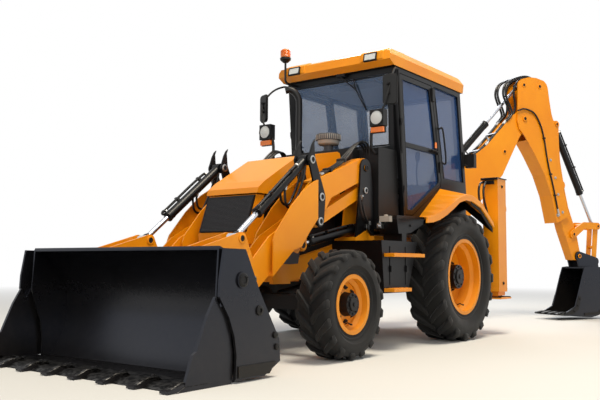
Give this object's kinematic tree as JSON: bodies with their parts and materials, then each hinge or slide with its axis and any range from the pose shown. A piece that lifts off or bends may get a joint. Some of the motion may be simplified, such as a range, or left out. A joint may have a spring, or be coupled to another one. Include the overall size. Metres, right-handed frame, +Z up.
{
  "type": "backhoe loader",
  "caption": "Wheeled backhoe loader: front loader bucket with opening jaw on self-levelling arms, cab, and a slewing, side-shifting backhoe with extending dipper.",
  "frame": {"origin": "on the ground under the middle of the machine's bounding box, tools as stored", "axes": "+X forwards to the loader bucket, +Y to the machine's left, +Z up"},
  "size_m": [9.206, 2.5531, 3.6495],
  "materials": {
    "orange_paint": "gloss",
    "black_paint": "satin",
    "dark_cast": "matte",
    "chrome_rod": "polished",
    "rubber": "matte",
    "glass": "clear",
    "plastic": "matte",
    "vinyl": "satin"
  },
  "bodies": {
    "chassis": {"chassis_frame": "orange_paint", "engine": "dark_cast", "front_axle": "dark_cast", "rear_axle": "dark_cast", "nose": "orange_paint", "grille": "plastic", "scuttle": "plastic", "side_tanks": "black_paint", "fenders": "orange_paint", "cab_frame": "black_paint", "cab_roof": "orange_paint", "cab_glass": "glass", "seat": "vinyl", "console": "plastic", "cab_lamps": "plastic", "mirrors": "plastic", "exhaust": "black_paint", "precleaner": "plastic", "rear_frame": "orange_paint"},
    "bonnet": {"bonnet": "orange_paint"},
    "door_left": {"door_left": "black_paint"},
    "door_right": {"door_right": "black_paint"},
    "knuckle_left": {"knuckle_left": "dark_cast"},
    "knuckle_right": {"knuckle_right": "dark_cast"},
    "wheel_front_left": {"tyre_front_left": "rubber", "rim_front_left": "orange_paint"},
    "wheel_front_right": {"tyre_front_right": "rubber", "rim_front_right": "orange_paint"},
    "wheel_rear_left": {"tyre_rear_left": "rubber", "rim_rear_left": "orange_paint"},
    "wheel_rear_right": {"tyre_rear_right": "rubber", "rim_rear_right": "orange_paint"},
    "loader_arms": {"loader_arms": "orange_paint"},
    "tilt_levers": {"tilt_levers": "black_paint"},
    "tie_links": {"tie_links": "orange_paint"},
    "lift_barrels": {"lift_barrels": "black_paint"},
    "lift_rods": {"lift_rods": "chrome_rod"},
    "tilt_barrels": {"tilt_barrels": "black_paint"},
    "tilt_rods": {"tilt_rods": "chrome_rod"},
    "bucket_pins": {"bucket_pins": "chrome_rod"},
    "bucket": {"bucket_brackets": "orange_paint", "bucket_back": "black_paint"},
    "jaw": {"bucket_jaw": "black_paint"},
    "stabiliser_left": {"stabiliser_left": "orange_paint"},
    "stabiliser_right": {"stabiliser_right": "orange_paint"},
    "carriage": {"carriage": "orange_paint"},
    "kingpost": {"kingpost": "orange_paint"},
    "boom": {"boom": "orange_paint"},
    "boom_barrel": {"boom_barrel": "black_paint"},
    "boom_rod": {"boom_rod": "chrome_rod"},
    "dipper": {"dipper": "orange_paint"},
    "dipper_barrel": {"dipper_barrel": "black_paint"},
    "dipper_rod": {"dipper_rod": "chrome_rod"},
    "dipper_slide": {"dipper_slide": "orange_paint"},
    "hoe_barrel": {"hoe_barrel": "black_paint"},
    "hoe_rod": {"hoe_rod": "chrome_rod"},
    "hoe_lever": {"hoe_lever": "orange_paint"},
    "hoe_link": {"hoe_link": "orange_paint"},
    "hoe_bucket": {"hoe_bucket": "black_paint"}
  },
  "joints": [
    {"name": "spin_rear_left", "type": "hinge", "parent": "chassis", "child": "wheel_rear_left", "pos_m": [0.26527, 0.84243, 0.685], "axis": [0, 1, 0], "continuous": true},
    {"name": "spin_rear_right", "type": "hinge", "parent": "chassis", "child": "wheel_rear_right", "pos_m": [0.26527, -1.03757, 0.685], "axis": [0, 1, 0], "continuous": true},
    {"name": "steer_left", "type": "hinge", "parent": "chassis", "child": "knuckle_left", "pos_m": [2.43527, 0.64243, 0.47], "axis": [0, 0, 1], "range_deg": [-30, 30]},
    {"name": "steer_right", "type": "hinge", "parent": "chassis", "child": "knuckle_right", "pos_m": [2.43527, -0.83757, 0.47], "axis": [0, 0, 1], "range_deg": [-30, 30]},
    {"name": "spin_front_left", "type": "hinge", "parent": "knuckle_left", "child": "wheel_front_left", "pos_m": [2.43527, 0.85743, 0.47], "axis": [0, 1, 0], "continuous": true},
    {"name": "spin_front_right", "type": "hinge", "parent": "knuckle_right", "child": "wheel_front_right", "pos_m": [2.43527, -1.05257, 0.47], "axis": [0, 1, 0], "continuous": true},
    {"name": "bonnet_hinge", "type": "hinge", "parent": "chassis", "child": "bonnet", "pos_m": [1.51327, -0.09757, 1.905], "axis": [0, -1, 0], "range_deg": [0, 50]},
    {"name": "door_left_hinge", "type": "hinge", "parent": "chassis", "child": "door_left", "pos_m": [0.92727, 0.63743, 1.5], "axis": [-0.0678, 0, -0.9977], "range_deg": [0, 75]},
    {"name": "door_right_hinge", "type": "hinge", "parent": "chassis", "child": "door_right", "pos_m": [0.92727, -0.83257, 1.5], "axis": [0.0678, 0, 0.9977], "range_deg": [0, 75]},
    {"name": "lift", "type": "hinge", "parent": "chassis", "child": "loader_arms", "pos_m": [1.51527, 0.44243, 1.77], "axis": [0, -1, 0], "range_deg": [0, 85]},
    {"name": "tilt_lever_hinge", "type": "hinge", "parent": "loader_arms", "child": "tilt_levers", "pos_m": [2.28027, 0.44243, 1.425], "axis": [0, -1, 0], "range_deg": [-85.01, 0]},
    {"name": "tie_hinge", "type": "hinge", "parent": "chassis", "child": "tie_links", "pos_m": [1.52527, 0.44243, 1.545], "axis": [0, -1, 0], "range_deg": [0, 85.01]},
    {"name": "lift_barrel_hinge", "type": "hinge", "parent": "chassis", "child": "lift_barrels", "pos_m": [1.49027, 0.44243, 1.18], "axis": [0, -1, 0], "range_deg": [0, 72.34]},
    {"name": "lift_rod_slide", "type": "slide", "parent": "lift_barrels", "child": "lift_rods", "axis": [0.9818, 0, -0.1897], "range_m": [0, 0.7508]},
    {"name": "tilt_barrel_hinge", "type": "hinge", "parent": "tilt_levers", "child": "tilt_barrels", "pos_m": [2.42027, 0.44243, 1.755], "axis": [0, -1, 0], "range_deg": [0, 85.01]},
    {"name": "bucket_pin_hinge", "type": "hinge", "parent": "loader_arms", "child": "bucket_pins", "pos_m": [3.22527, 0.44243, 0.682], "axis": [0, -1, 0], "range_deg": [-85.01, 0]},
    {"name": "tilt", "type": "hinge", "parent": "bucket_pins", "child": "bucket", "pos_m": [3.22527, 0.44243, 0.682], "axis": [0, 1, 0], "range_deg": [-45, 45]},
    {"name": "tilt_rod_slide", "type": "slide", "parent": "tilt_barrels", "child": "tilt_rods", "axis": [0.7861, 0, -0.6181], "range_m": [-0.2377, 0.2377]},
    {"name": "jaw_hinge", "type": "hinge", "parent": "bucket", "child": "jaw", "pos_m": [3.96027, -0.09757, 0.699], "axis": [0, -1, 0], "range_deg": [0, 80]},
    {"name": "stabiliser_left_slide", "type": "slide", "parent": "chassis", "child": "stabiliser_left", "axis": [0, 0, -1], "range_m": [0, 0.4]},
    {"name": "stabiliser_right_slide", "type": "slide", "parent": "chassis", "child": "stabiliser_right", "axis": [0, 0, -1], "range_m": [0, 0.4]},
    {"name": "side_shift", "type": "slide", "parent": "chassis", "child": "carriage", "axis": [0, 1, 0], "range_m": [-0.18, 0.98]},
    {"name": "slew", "type": "hinge", "parent": "carriage", "child": "kingpost", "pos_m": [-1.15473, -0.49757, 0.83], "axis": [0, 0, 1], "range_deg": [-65, 115]},
    {"name": "boom_hinge", "type": "hinge", "parent": "kingpost", "child": "boom", "pos_m": [-1.45381, -0.35811, 0.75], "axis": [-0.4226, -0.9063, 0], "range_deg": [-15, 100]},
    {"name": "boom_barrel_hinge", "type": "hinge", "parent": "boom", "child": "boom_barrel", "pos_m": [-1.87978, -0.15948, 1.8], "axis": [-0.4226, -0.9063, 0], "range_deg": [-2.01, 0.31]},
    {"name": "boom_rod_slide", "type": "slide", "parent": "boom_barrel", "child": "boom_rod", "axis": [0.547, -0.2551, -0.7973], "range_m": [-0.0798, 0.5316]},
    {"name": "dipper_hinge", "type": "hinge", "parent": "boom", "child": "dipper", "pos_m": [-3.03079, 0.37725, 2.99], "axis": [-0.4226, -0.9063, 0], "range_deg": [-95, 15]},
    {"name": "dipper_barrel_hinge", "type": "hinge", "parent": "boom", "child": "dipper_barrel", "pos_m": [-1.75289, -0.21864, 2.13], "axis": [-0.4226, -0.9063, 0], "range_deg": [-2, 0.33]},
    {"name": "dipper_rod_slide", "type": "slide", "parent": "dipper_barrel", "child": "dipper_rod", "axis": [-0.6455, 0.301, 0.702], "range_m": [-0.7462, 0.1179]},
    {"name": "dipper_extend", "type": "slide", "parent": "dipper", "child": "dipper_slide", "axis": [-0.2447, 0.1141, -0.9629], "range_m": [0, 1.05]},
    {"name": "hoe_bucket_hinge", "type": "hinge", "parent": "dipper_slide", "child": "hoe_bucket", "pos_m": [-4.02319, 0.84002, 0.958], "axis": [-0.4226, -0.9063, 0], "range_deg": [-50, 90]},
    {"name": "hoe_lever_hinge", "type": "hinge", "parent": "dipper_slide", "child": "hoe_lever", "pos_m": [-3.9235, 0.79353, 1.292], "axis": [-0.4226, -0.9063, 0], "range_deg": [-34.01, 61.21]},
    {"name": "hoe_link_hinge", "type": "hinge", "parent": "hoe_lever", "child": "hoe_link", "pos_m": [-4.40837, 1.01963, 1.43], "axis": [-0.4226, -0.9063, 0], "range_deg": [-27.01, 15.01]},
    {"name": "hoe_barrel_hinge", "type": "hinge", "parent": "dipper_slide", "child": "hoe_barrel", "pos_m": [-3.66973, 0.6752, 2.978], "axis": [-0.4226, -0.9063, 0], "range_deg": [-4.21, 7.57]},
    {"name": "hoe_rod_slide", "type": "slide", "parent": "hoe_barrel", "child": "hoe_rod", "axis": [-0.4222, 0.1969, -0.8849], "range_m": [-0.2708, 0.4874]}
  ],
  "couplings": [
    {"joint": "steer_right", "follows": "steer_left", "ratio": 1},
    {"joint": "tilt_lever_hinge", "follows": "lift", "ratio": -1},
    {"joint": "tie_hinge", "follows": "lift", "ratio": 1},
    {"joint": "lift_barrel_hinge", "follows": "lift", "ratio": 0.851},
    {"joint": "lift_rod_slide", "follows": "lift", "m_per_rad": 0.506},
    {"joint": "tilt_barrel_hinge", "follows": "lift", "ratio": 1},
    {"joint": "bucket_pin_hinge", "follows": "lift", "ratio": -1},
    {"joint": "tilt_rod_slide", "follows": "tilt", "m_per_rad": 0.3025},
    {"joint": "boom_barrel_hinge", "follows": "boom_hinge", "ratio": -0.02},
    {"joint": "boom_rod_slide", "follows": "boom_hinge", "m_per_rad": 0.3045},
    {"joint": "dipper_barrel_hinge", "follows": "dipper_hinge", "ratio": 0.021},
    {"joint": "dipper_rod_slide", "follows": "dipper_hinge", "m_per_rad": 0.45},
    {"joint": "hoe_lever_hinge", "follows": "hoe_bucket_hinge", "ratio": 0.68},
    {"joint": "hoe_link_hinge", "follows": "hoe_bucket_hinge", "ratio": -0.3},
    {"joint": "hoe_barrel_hinge", "follows": "hoe_bucket_hinge", "ratio": 0.084},
    {"joint": "hoe_rod_slide", "follows": "hoe_bucket_hinge", "m_per_rad": 0.3102}
  ]
}
